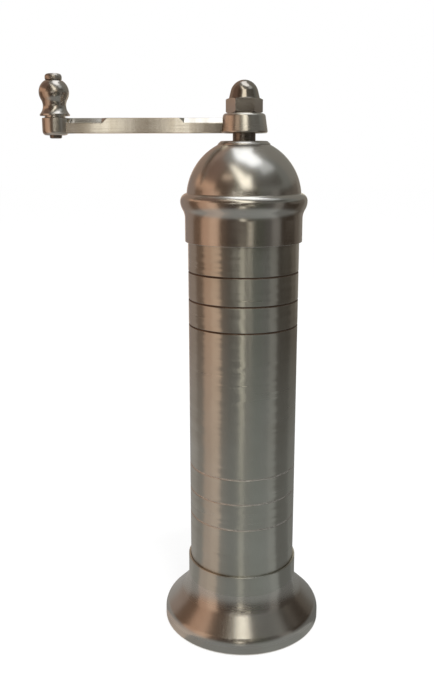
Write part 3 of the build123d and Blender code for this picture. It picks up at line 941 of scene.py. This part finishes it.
@dataclass
class Crank:
    """Crank with its hub, stop-chamfered arm and eye, and the knob, rivet and nut on it."""

    reach: float = 62.5
    hub_bottom: float = 177.0
    hub_top: float = 183.3
    hub_bottom_radius: float = 7.9
    hub_top_radius: float = 6.95
    hub_edge: float = 1.1
    hub_turned: float = 7.98
    arm_top: float = 181.9
    arm_width: float = 4.2
    arm_chamfer: float = 1.65
    plain_from: float = 19.8
    plain_to: float = 46.9
    eye_radius: float = 4.3
    eye_bottom: float = 176.4
    eye_top: float = 182.0
    eye_edge: float = 1.3
    square: float = 5.9
    square_corner: float = 3.85
    rivet_radius: float = 1.75
    rivet_tail_radius: float = 2.0
    rivet_tail: float = 1.0
    rivet_head_radius: float = 2.75
    rivet_head_bottom: float = 193.8
    rivet_top: float = 195.9
    knob_bottom: float = 182.1
    knob_bore: float = 1.8
    knob_neck: float = 3.35
    knob_ring: float = 4.9
    knob_ring_bottom: float = 182.6
    knob_ring_top: float = 183.1
    knob_shoulder: complex = 4.3 + 187.8j
    knob_bulb: complex = 4.9 + 190.0j
    knob_crown: complex = 2.9 + 193.7j
    nut_flats: float = 10.6
    nut_bottom: float = 183.32
    nut_hex_top: float = 188.05
    nut_face_radius: float = 5.2
    nut_nose_radius: float = 4.65
    nut_taper: float = 14.0
    nut_top: float = 193.9
    nut_bore: float = 3.0
    nut_bore_top: float = 190.8
    nut_corner_chamfer: float = 22.0
    fine_edge: float = 0.15
    overcut: float = 1.0
    tolerance: float = 0.015

    def bar(self) -> BMesh:
        """Make the arm's bar with stopped chamfers on its upper edges and soft edges all round.

        Returns:
            The bar's mesh.
        """
        half = self.arm_width / 2
        mesh = block(Vector((-self.reach, -half, self.hub_bottom)), Vector((0.0, half, self.arm_top)))
        for stop in (self.plain_from, self.plain_to):
            bmesh.ops.bisect_plane(
                mesh,
                geom=mesh.verts[:] + mesh.edges[:] + mesh.faces[:],
                plane_co=(-stop * MM, 0.0, 0.0),
                plane_no=(1.0, 0.0, 0.0),
            )
        tops = [edge for edge in mesh.edges if all(self._on_top_edge(vert) for vert in edge.verts)]
        ends = [edge for edge in tops if not self._in_plain_stretch(edge)]
        soften(mesh, ends, self.arm_chamfer, steps=1)
        crests = [edge for edge in mesh.edges if edge.calc_face_angle(0.0) > SHARP_ANGLE / 2]
        soften(mesh, crests, self.fine_edge, steps=2, clamped=True)
        return cleaned(mesh)

    def _on_top_edge(self, vert: BMVert) -> bool:
        """Tell whether a point of the bar is on one of its two upper edges."""
        across = abs(abs(vert.co.y) - self.arm_width / 2 * MM)
        return max(across, abs(vert.co.z - self.arm_top * MM)) < self.tolerance * MM

    def _in_plain_stretch(self, edge: BMEdge) -> bool:
        """Tell whether an edge of the bar runs between the two chamfer stops, or across the bar.

        Args:
            edge: Edge of the bar.

        Returns:
            True if the edge stays unchamfered.
        """
        middle = -(edge.verts[0].co + edge.verts[1].co).x / 2 / MM
        across = abs(edge.verts[0].co.x - edge.verts[1].co.x) < self.fine_edge * MM
        return across or self.plain_from < middle < self.plain_to

    def arm(self) -> BMesh:
        """Weld the bar to its hub and eye, then bore the square and the rivet's hole.

        Returns:
            The crank's mesh.
        """
        hub = Lathe(0.0, self.hub_bottom).lines(
            (self.hub_bottom_radius, self.hub_bottom, self.hub_edge / 2),
            (self.hub_top_radius, self.hub_top, self.hub_edge),
            (0.0, self.hub_top),
        )
        eye = Lathe(0.0, self.eye_bottom, -self.reach).lines(
            (self.eye_radius, self.eye_bottom, self.eye_edge),
            (self.eye_radius, self.eye_top, self.eye_edge / 4),
            (0.0, self.eye_top),
        )
        hub_ends = (self.hub_bottom - self.overcut, self.hub_top + self.overcut)
        eye_ends = (self.eye_bottom - self.overcut, self.eye_top + self.overcut)
        crank = self.bar()
        for boss in (hub, eye):
            crank = worked(crank, boss.turn(SMALL_STEPS, closed=False), Joining.WELD)
        crank = worked(crank, rod(self.square_corner, *hub_ends, flats=self.square), Joining.CUT)
        return worked(crank, rod(self.rivet_radius, *eye_ends, -self.reach), Joining.CUT)

    def rivet(self) -> BMesh:
        """Turn the button-headed rivet that the knob spins on.

        Returns:
            The rivet's mesh.
        """
        tail_bottom = self.eye_bottom - self.rivet_tail
        soft = self.rivet_tail / 2
        outline = Lathe(0.0, tail_bottom, -self.reach).lines(
            (self.rivet_tail_radius, tail_bottom, soft),
            (self.rivet_tail_radius, self.eye_bottom),
            (self.rivet_radius, self.eye_bottom),
            (self.rivet_radius, self.rivet_head_bottom),
            (self.rivet_head_radius, self.rivet_head_bottom, soft),
            (self.rivet_head_radius, self.rivet_top, 2 * soft),
            (0.0, self.rivet_top),
        )
        return outline.turn(SMALL_STEPS, closed=False)

    def knob(self) -> BMesh:
        """Turn the knob: a flared ring, a waist and a round bulb.

        The bulb is an arc through three points, and the waist is an arc that runs into it.

        Returns:
            The knob's mesh.
        """
        shoulder, bulb, crown = self.knob_shoulder, self.knob_bulb, self.knob_crown
        ring_edge = complex(self.knob_ring, self.knob_ring_top)
        bulb_heading = (bulb - shoulder) * (crown - shoulder) / (crown - bulb)
        waist_heading = (shoulder - ring_edge) ** 2 * bulb_heading.conjugate()
        outline = Lathe(self.knob_bore, self.knob_bottom, -self.reach).lines(
            (self.knob_neck, self.knob_bottom),
            (self.knob_neck, self.knob_ring_bottom),
            (self.knob_ring, self.knob_ring_bottom, self.fine_edge),
            (self.knob_ring, self.knob_ring_top),
        )
        for end, heading in ((shoulder, waist_heading), (crown, bulb_heading)):
            outline.arc(end.real, end.imag, (heading.real, heading.imag))
        return outline.lines((self.knob_bore, crown.imag)).turn(SMALL_STEPS)

    def nut(self) -> BMesh:
        """Turn the acorn nut's outline, with its tapered dome and round nose, and mill its six flats.

        Returns:
            The nut's mesh.
        """
        corner = self.nut_flats / math.sqrt(3)
        drop = (corner - self.nut_face_radius) * math.tan(math.radians(self.nut_corner_chamfer))
        taper = math.radians(self.nut_taper)
        side_radius = self.nut_nose_radius * math.cos(taper)
        side_height = self.nut_top - self.nut_nose_radius * (1 - math.sin(taper))
        foot_radius = side_radius + (side_height - self.nut_hex_top) * math.tan(taper)
        outline = Lathe(0.0, self.nut_bore_top).lines(
            (self.nut_bore, self.nut_bore_top),
            (self.nut_bore, self.nut_bottom),
            (self.nut_face_radius, self.nut_bottom),
            (corner, self.nut_bottom + drop),
            (corner, self.nut_hex_top - drop),
            (self.nut_face_radius, self.nut_hex_top),
            (foot_radius, self.nut_hex_top, self.fine_edge),
            (side_radius, side_height),
        )
        outline.arc(0.0, self.nut_top, (-math.sin(taper), math.cos(taper)))
        mesh = outline.turn(LARGE_STEPS, closed=False)
        cut_flats(mesh, HEXAGON, self.nut_flats)
        return cleaned(mesh)

    def build(self, bench: Bench) -> None:
        """Put the crank, the rivet, the knob and the nut on the bench.

        Args:
            bench: Bench that takes them.
        """
        turned = (
            Zone(TURNED_CASTING, lambda point: point.xy.length < self.hub_turned),
            Zone(TURNED_CASTING, lambda point: point.x < -self.reach + self.eye_radius, -self.reach),
        )
        bench.stand_for("crank_arm", self.arm(), Slot.CAST, zones=turned)
        rubbed = (Zone(BURNISHED, lambda point: point.z > self.rivet_head_bottom, -self.reach),)
        bench.stand_for("knob_rivet", self.rivet(), Slot.SHAFT, -self.reach, rubbed)
        handled = (Zone(HANDLED, lambda point: point.z > self.knob_ring_top, -self.reach),)
        bench.stand_for("knob", self.knob(), Slot.POLISHED, -self.reach, handled)
        # The nut's dome gets the painted shade.
        nose_shade = (Zone(SHADED_NOSE, lambda point: point.z > self.nut_hex_top),)
        bench.stand_for("acorn_nut", self.nut(), Slot.POLISHED, zones=nose_shade)


@dataclass
class Drive:
    """Shaft with its squares and threads, and the moving burr that it carries."""

    ball_centre: float = 16.0
    cup_radius: float = 2.05
    bottom: float = 16.6
    tail_radius: float = 2.5
    tail_pitch: float = 0.8
    rotor_seat: float = 20.9
    rotor_top: float = 32.0
    lower_square: float = 4.6
    lower_square_radius: float = 3.0
    radius: float = 3.8
    hub_seat: float = 176.98
    upper_square: float = 5.8
    upper_square_top: float = 183.0
    thread_radius: float = 2.95
    thread_pitch: float = 1.0
    tip_chamfer: float = 0.74
    top: float = 190.3
    thread_depth: float = 0.5

    def shaft(self) -> BMesh:
        """Turn the shaft with a cup for the ball, then weld on its two squares and its two threads.

        Returns:
            The shaft's mesh.
        """
        tail_core = self.tail_radius - self.thread_depth
        tip_core = self.thread_radius - self.thread_depth
        tip = self.top - self.tip_chamfer
        cup_top = self.ball_centre + self.cup_radius
        cup_rim = math.sqrt(self.cup_radius**2 - (self.bottom - self.ball_centre) ** 2)
        outline = Lathe(0.0, cup_top).arc(cup_rim, self.bottom, (1.0, 0.0))
        outline.lines(
            (tail_core, self.bottom),
            (tail_core, self.rotor_top),
            (self.radius, self.rotor_top),
            (self.radius, self.hub_seat),
            (tip_core, self.hub_seat),
            (tip_core, tip),
            (tip_core - self.tip_chamfer, self.top),
            (0.0, self.top),
        )
        mesh = outline.turn(SMALL_STEPS, closed=False)
        for stretch in (
            rod(self.lower_square_radius, self.rotor_seat, self.rotor_top, flats=self.lower_square),
            rod(self.radius, self.hub_seat, self.upper_square_top, flats=self.upper_square),
            thread(self.tail_radius, self.thread_depth, self.tail_pitch, self.bottom, self.rotor_seat),
            thread(self.thread_radius, self.thread_depth, self.thread_pitch, self.upper_square_top, tip),
        ):
            mesh = worked(mesh, stretch, Joining.WELD)
        return mesh

    def build(self, bench: Bench) -> None:
        """Put the shaft on the bench and finish what it carries.

        Args:
            bench: Bench that takes it.
        """
        bench.stand_for("drive_shaft", self.shaft(), Slot.SHAFT)
        bench.dress(Slot.BURR, "rotor_burr")
        bench.dress(Slot.PLATED, "rotor_washer", "rotor_nut", "thrust_ball")


@dataclass
class Adjuster:
    """Grind adjuster under the burrs: screw, thumb wheel and spring."""

    ball_centre: float = Drive.ball_centre
    cup_radius: float = Drive.cup_radius
    bottom: float = 1.9
    tip: float = 14.5
    radius: float = 2.95
    thread_pitch: float = 1.0
    thread_depth: float = 0.5
    spring_radius: float = 3.9
    spring_wire: float = 0.4
    spring_turns: float = 2.5
    spring_bottom: float = 6.02
    spring_top: float = 10.28

    def screw(self) -> BMesh:
        """Turn the adjusting screw with a cup for the ball in its tip, and weld on its thread.

        Returns:
            The screw's mesh.
        """
        core = self.radius - self.thread_depth
        cup_rim = math.sqrt(self.cup_radius**2 - (self.ball_centre - self.tip) ** 2)
        stud = Lathe(0.0, self.bottom).lines((core, self.bottom), (core, self.tip), (cup_rim, self.tip))
        stud.arc(0.0, self.ball_centre - self.cup_radius, (self.tip - self.ball_centre, -cup_rim))
        ridge = thread(self.radius, self.thread_depth, self.thread_pitch, self.bottom, self.tip)
        return worked(stud.turn(SMALL_STEPS, closed=False), ridge, Joining.WELD)

    def spring(self) -> BMesh:
        """Wind the spring's wire from the thumb wheel up to the bridge.

        Returns:
            The spring's mesh.
        """
        wire = bmesh.new()
        foot = Vector((self.spring_radius, 0.0, self.spring_bottom + self.spring_wire)) * MM
        upright = Matrix.Translation(foot) @ Matrix.Rotation(math.pi / 2, 4, "X")
        bmesh.ops.create_circle(wire, segments=WIRE_STEPS, radius=self.spring_wire * MM, matrix=upright)
        rise = self.spring_top - self.spring_bottom - 2 * self.spring_wire
        return helix(wire, self.spring_turns, rise / self.spring_turns)

    def build(self, bench: Bench) -> None:
        """Put the screw and the spring on the bench and finish the wheel.

        The spring stands on the wheel, and is left in place on no body.

        Args:
            bench: Bench that takes them.
        """
        pressed = Span("thrust", self.spring_top, self.spring_bottom)
        bench.stand_for("adjusting_screw", self.screw(), Slot.PLATED)
        bench.stand_for("adjuster_spring", self.spring(), Slot.WIRE, span=pressed)
        bench.dress(Slot.BRASS, "thumb_wheel")


class Level(Enum):
    """Heights in metres between which a card round the mill stands."""

    EDGE = (0.0, 0.075)
    TUBE = (0.0, 0.092)
    LOW = (0.0, 0.205)
    TUBE_MIDDLE = (0.012, 0.048)
    TUBE_TOP = (0.048, 0.092)
    SKIRT = (0.112, 0.14)
    FLARE_EDGE = (0.135, 0.185)
    NUT = (0.16, 0.235)
    ARM = (0.17, 0.206)
    HUB = (0.192, 0.206)
    GLOW = (0.205, 0.26)
    HIGH = (0.205, 0.6)
    FLARE = (0.235, 0.36)
    WINDOW = (0.235, 0.6)
    TOP = (0.37, 0.6)


@dataclass(frozen=True)
class Card:
    """An upright curved card round the mill that only its reflections show.

    Attributes:
        name: Name of the card.
        start: Where it begins in degrees, 0 at the camera and positive to the right.
        end: Where it ends in degrees.
        colour: Colour that it shows, sRGB hex.
        level: Heights that it spans.
        lead: How far it stands in front of the others, in metres.
        gain: How much brighter than its colour it shines.
        lean: How far its top is turned against its bottom, in degrees.
        mirror: Share of the table, from the mill outwards, that mirrors it.
        clear: Radius round the mill's axis where the table does not mirror it, in metres.
        sheen: Share of its light in what the table shows there.
    """

    name: str
    start: float
    end: float
    colour: str
    level: Level = Level.LOW
    lead: float = 0.0
    gain: float = 1.0
    lean: float = 0.0
    mirror: float = 1.0
    clear: float = 0.0
    sheen: float = 0.42


@dataclass(frozen=True)
class Panel:
    """A flat panel over the mill that only its reflections show.

    Attributes:
        name: Name of the panel.
        colour: Colour that it shows, sRGB hex.
        centre: Place of its middle in metres.
        size: Length and width in metres.
        turn: Turn of its length from the X axis in degrees.
        gain: How much brighter than its colour it shines.
    """

    name: str
    colour: str
    centre: tuple[float, float, float]
    size: tuple[float, float]
    turn: float = 0.0
    gain: float = 1.0


@dataclass
class Studio:
    """White sweep, soft light, reflection cards and the photograph's camera."""

    eye: tuple[float, float, float] = (-0.009146, -0.266617, 0.169993)
    pitch_down: float = 13.37
    roll: float = -0.109
    lens: float = 41.18
    sensor: float = 36.0
    nearest: float = 0.01
    lamp_place: tuple[float, float, float] = (0.08, -0.25, 0.9)
    lamp_size: float = 0.12
    lamp_power: float = 3.0
    lamp_aim: float = 0.09
    floor_radius: float = 4.0
    floor_colour: str = "#FEFEFE"
    floor_glow: float = 0.7
    card_distance: float = 0.24
    card_fade: float = 0.05
    sheet_lift: float = 0.0005
    sheet_lift_by_lead: float = 0.1
    ceiling: float = 0.6
    ceiling_shade: str = "#8A8883"
    table_shade: str = "#B4B9B9"
    cards: tuple[Card, ...] = (
        Card("card_left_back", -180.0, -142.0, "#918581"),
        Card("card_left_brown", -142.0, -112.0, "#9C8B81"),
        Card("card_left_dark", -112.0, -88.0, "#6E5747"),
        Card("card_left_warm", -88.0, -68.0, "#C9A48C"),
        Card("card_left_bright", -68.0, -48.0, "#E2C0A7"),
        Card("card_left_shade", -48.0, -32.0, "#5E4E43"),
        Card("card_front_dark", -32.0, 13.0, "#40352E"),
        Card("card_front_green", 13.0, 37.0, "#4E4F47"),
        Card("card_right_shade", 37.0, 52.0, "#565350"),
        Card("card_right_grey", 52.0, 70.0, "#84817D"),
        Card("card_right_dark", 70.0, 112.0, "#3C332B", sheen=0.66),
        Card("card_right_pale", 112.0, 132.0, "#6A625A"),
        Card("card_right_back", 132.0, 180.0, "#8C867E"),
        Card("high_left_back", -180.0, -110.0, "#A08B7E", Level.HIGH),
        Card("high_left", -110.0, -60.0, "#80695D", Level.HIGH),
        Card("high_left_dark", -60.0, -20.0, "#5A4A3E", Level.HIGH),
        Card("high_front", -20.0, 30.0, "#6E6B60", Level.HIGH),
        Card("high_right", 30.0, 110.0, "#7E807D", Level.HIGH),
        Card("high_right_back", 110.0, 180.0, "#8C8A84", Level.HIGH),
        Card("tube_strip", -8.0, 1.0, "#D6D0C2", Level.TUBE, 0.01, mirror=0.4, clear=0.042),
        Card("tube_strip_middle", -8.0, 1.0, "#807C70", Level.TUBE_MIDDLE, 0.012, sheen=1.0),
        Card("tube_strip_top", -8.0, 1.0, "#FFF8E6", Level.TUBE_TOP, 0.012, 1.7),
        Card("tube_edge_shade", 114.0, 158.0, "#5E574F", Level.EDGE, 0.01, clear=0.032, sheen=0.6),
        Card("back_strip", 160.0, 171.0, "#FFF8E6", lead=0.01, mirror=0.4, clear=0.042),
        Card("back_warm", -174.0, -156.0, "#D8BEA9", lead=0.01, mirror=0.4, clear=0.042),
        Card("skirt_strip", 6.0, 15.0, "#FFF8E6", Level.SKIRT, 0.01, 1.2),
        Card("hub_light", -46.0, -25.0, "#E6CDB6", Level.HUB, 0.18),
        Card("nut_shade", -3.0, 20.0, "#33281F", Level.NUT, 0.01),
        Card("arm_shade", -32.0, -2.0, "#9A9084", Level.ARM, 0.012),
        Card("arm_light_far", -21.5, -16.5, "#FFFBF0", Level.ARM, 0.014, 1.7),
        Card("arm_light_near", -9.8, -6.0, "#FFFBF0", Level.ARM, 0.014, 1.9),
        Card("flare_edge_light", 84.0, 126.0, "#6E6861", Level.FLARE_EDGE, 0.01),
        Card("flare_shade", 13.0, 84.0, "#585651", Level.FLARE, 0.011),
        Card("flare_light", 1.0, 13.0, "#FFFAEC", Level.FLARE, 0.012, 2.6),
        Card("window", -4.0, 18.0, "#FFFAEC", Level.WINDOW, 0.01, 2.0, -58.0),
        Card("window_right", 46.0, 88.0, "#C4C9CC", Level.TOP, 0.01, 1.3),
        Card("glow_left", -118.0, -62.0, "#E0B79B", Level.GLOW, 0.01),
    )
    panels: tuple[Panel, ...] = (
        Panel("panel_streak", "#F4F9FF", (0.14, -0.115, 0.585), (0.42, 0.21), -35.0, 2.1),
        Panel("panel_back", "#F4F9FF", (-0.01, 0.13, 0.59), (0.18, 0.34), 0.0, 2.0),
    )

    def camera(self) -> None:
        """Set the camera where the photograph was taken from."""
        data = bpy.data.cameras.new("camera")
        data.lens = self.lens
        data.sensor_width = self.sensor
        data.clip_start = self.nearest
        item = bpy.data.objects.new("camera", data)
        turn = Matrix.Rotation(math.radians(90 - self.pitch_down), 4, "X")
        tilt = Matrix.Rotation(math.radians(self.roll), 4, "Z")
        item.matrix_world = Matrix.Translation(self.eye) @ turn @ tilt
        bpy.context.scene.collection.objects.link(item)
        bpy.context.scene.camera = item

    def world(self) -> None:
        """Light the scene evenly, with white behind everything."""
        world = bpy.data.worlds.new("white_studio")
        tree = empty_tree(world)
        white = add_node(tree, "Background", {"Color": linear(WHITE), "Strength": 1.0})
        add_node(tree, "OutputWorld", {"Surface": white.outputs["Background"]})
        bpy.context.scene.world = world

    def floor(self) -> None:
        """Lay a floor that keeps the mill's soft shadow and is white to eye, metal and glass."""
        item = scene_object("floor", disc(self.floor_radius, 0.0))
        paper = bpy.data.materials.new("white_paper_sweep")
        tree = empty_tree(paper)
        rays = add_node(tree, "LightPath").outputs
        seen = rays["Is Camera Ray"]
        for ray in ("Is Glossy Ray", "Is Transmission Ray"):
            seen = add_node(tree, "Math", (seen, rays[ray]), operation="MAXIMUM").outputs["Value"]
        share = add_node(tree, "Math", (seen, self.floor_glow), operation="MULTIPLY").outputs["Value"]
        matt = add_node(tree, "BsdfDiffuse", {"Color": linear(self.floor_colour)}).outputs["BSDF"]
        glow = add_node(tree, "Emission", {"Color": linear(WHITE), "Strength": 1.0}).outputs["Emission"]
        mix = add_node(tree, "MixShader", (share, matt, glow))
        add_node(tree, "OutputMaterial", {"Surface": mix.outputs["Shader"]})
        item.data.materials.append(paper)

    def reflected_only(
        self, name: str, mesh: BMesh, light: Vector, foot_light: Vector | None = None
    ) -> None:
        """Put up a shape that is seen only in the metal and neither lights nor shades the scene.

        Args:
            name: Name of the shape.
            mesh: Its geometry in metres.
            light: Linear colour that it shows.
            foot_light: Linear colour that it fades to at the table, where it does.
        """
        item = scene_object(name, mesh)
        for ray in ("camera", "diffuse", "shadow"):
            setattr(item, f"visible_{ray}", False)
        paint = bpy.data.materials.new(name)
        tree = empty_tree(paint)
        glow = add_node(tree, "Emission", {"Color": light, "Strength": 1.0})
        if foot_light:
            place = add_node(tree, "TexCoord").outputs["Object"]
            height = add_node(tree, "SeparateXYZ", (place,)).outputs["Z"]
            rise = add_node(tree, "MapRange", (height, 0.0, self.card_fade)).outputs["Result"]
            shades = {"Factor": rise, MIX_FIRST: foot_light, MIX_SECOND: light}
            shade = add_node(tree, "Mix", shades, data_type="RGBA")
            tree.links.new(shade.outputs[MIX_RESULT], glow.inputs["Color"])
        add_node(tree, "OutputMaterial", {"Surface": glow.outputs["Emission"]})
        item.data.materials.append(paint)

    def sector(
        self,
        name: str,
        span: tuple[float, float],
        edge: tuple[Vector, Vector],
        light: Vector,
        foot_light: Vector | None = None,
    ) -> None:
        """Swing a straight edge round the mill's axis to make a card.

        Args:
            name: Name of the card.
            span: Where it begins and ends in degrees, 0 at the camera and positive to the right.
            edge: Ends of the edge as it stands on the camera's side, in metres.
            light: Linear colour that the card shows.
            foot_light: Linear colour that the card fades to at the table, where it does.
        """
        mesh = bmesh.new()
        first = mesh.verts.new(edge[0])
        bmesh.ops.extrude_vert_indiv(mesh, verts=[first])["verts"][0].co = edge[1]
        bmesh.ops.rotate(mesh, verts=mesh.verts[:], matrix=Matrix.Rotation(math.radians(span[0]), 3, "Z"))
        bmesh.ops.spin(
            mesh,
            geom=mesh.verts[:] + mesh.edges[:],
            axis=UP,
            angle=math.radians(span[1] - span[0]),
            steps=math.ceil((span[1] - span[0]) / CARD_STEP),
        )
        self.reflected_only(name, cleaned(mesh), light, foot_light)

    def card(self, card: Card) -> None:
        """Stand one card round the mill, and lay its reflection on the table if it reaches down to it.

        Args:
            card: The card.
        """
        light = Vector(linear(card.colour)) * card.gain
        ahead = Vector((0.0, card.lead - self.card_distance, 0.0))
        bottom, top = card.level.value
        span = (card.start, card.end)
        leaning = Matrix.Rotation(math.radians(card.lean), 3, "Z") @ ahead
        mirrored = Vector(linear(self.table_shade)).lerp(light, card.sheen)
        foot_light = mirrored if bottom < self.card_fade else None
        self.sector(card.name, span, (ahead + UP * bottom, leaning + UP * top), light, foot_light)
        if bottom == 0.0:
            lift = UP * (self.sheet_lift + card.lead * self.sheet_lift_by_lead)
            near = ahead.normalized() * card.clear
            self.sector(f"{card.name}_on_table", span, (near + lift, ahead * card.mirror + lift), mirrored)

    def panel(self, panel: Panel) -> None:
        """Hang one flat panel over the mill.

        Args:
            panel: The panel.
        """
        mesh = bmesh.new()
        place = Matrix.Translation(panel.centre) @ Matrix.Rotation(math.radians(panel.turn), 4, "Z")
        size = Matrix.Diagonal((*panel.size, 1.0, 1.0))
        bmesh.ops.create_grid(mesh, x_segments=1, y_segments=1, size=0.5, matrix=place @ size)
        self.reflected_only(panel.name, mesh, Vector(linear(panel.colour)) * panel.gain)

    def lamp(self) -> None:
        """Hang one soft square lamp over the mill's front, which faces its middle and isn't reflected."""
        data = bpy.data.lights.new("key_overhead", "AREA")
        data.size = self.lamp_size
        data.energy = self.lamp_power
        item = bpy.data.objects.new("key_overhead", data)
        place = Vector(self.lamp_place)
        aim = (UP * self.lamp_aim - place).to_track_quat("-Z", "Y").to_matrix().to_4x4()
        item.matrix_world = Matrix.Translation(place) @ aim
        item.visible_glossy = False
        bpy.context.scene.collection.objects.link(item)

    def build(self) -> None:
        """Set up the whole studio."""
        bpy.context.scene.view_settings.view_transform = "Standard"
        self.camera()
        self.world()
        self.floor()
        for card in self.cards:
            self.card(card)
        for panel in self.panels:
            self.panel(panel)
        overhead = disc(self.card_distance, self.ceiling)
        self.reflected_only("ceiling", overhead, Vector(linear(self.ceiling_shade)))
        self.lamp()


def main() -> None:
    """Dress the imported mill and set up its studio."""
    logging.basicConfig(level=logging.INFO, format="%(name)s: %(message)s")
    for item in list(bpy.data.objects):
        bpy.data.objects.remove(item)
    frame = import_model()
    bench = Bench(frame["nodes"], frame["record"]["behaviour"]["bodies"])
    for assembly in (MillBody(), Dome(), Crank(), Drive(), Adjuster()):
        assembly.build(bench)
    Studio().build()


if __name__ == "__main__":
    main()
